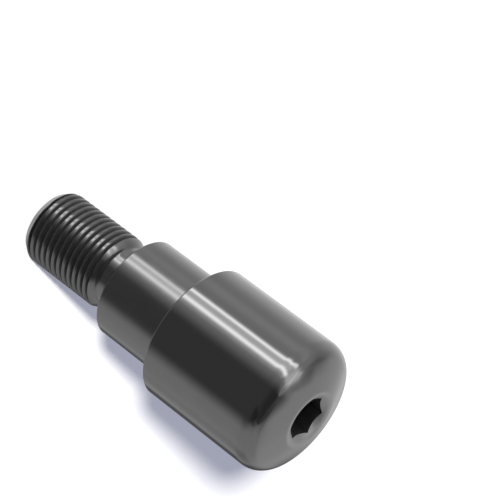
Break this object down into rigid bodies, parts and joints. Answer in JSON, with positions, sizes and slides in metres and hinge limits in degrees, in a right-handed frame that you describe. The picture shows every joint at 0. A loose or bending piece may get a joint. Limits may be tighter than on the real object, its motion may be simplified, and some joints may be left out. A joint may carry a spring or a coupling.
{
  "type": "bar end weight",
  "caption": "Turned handlebar end weight in one solid: threaded shank with relief, collar, weight and domed nose with a hex socket.",
  "frame": {"origin": "centre of the flat free end of the thread, on which the part stands", "axes": "+Z along the axis from the free end of the thread to the nose; two flats of the hex socket face +Y and -Y"},
  "size_m": [0.0284, 0.0284, 0.0708],
  "materials": {
    "gunmetal_steel": "dark gunmetal, smooth turned and polished"
  },
  "bodies": {
    "root": {"bar_end_weight": "gunmetal_steel"}
  },
  "joints": []
}
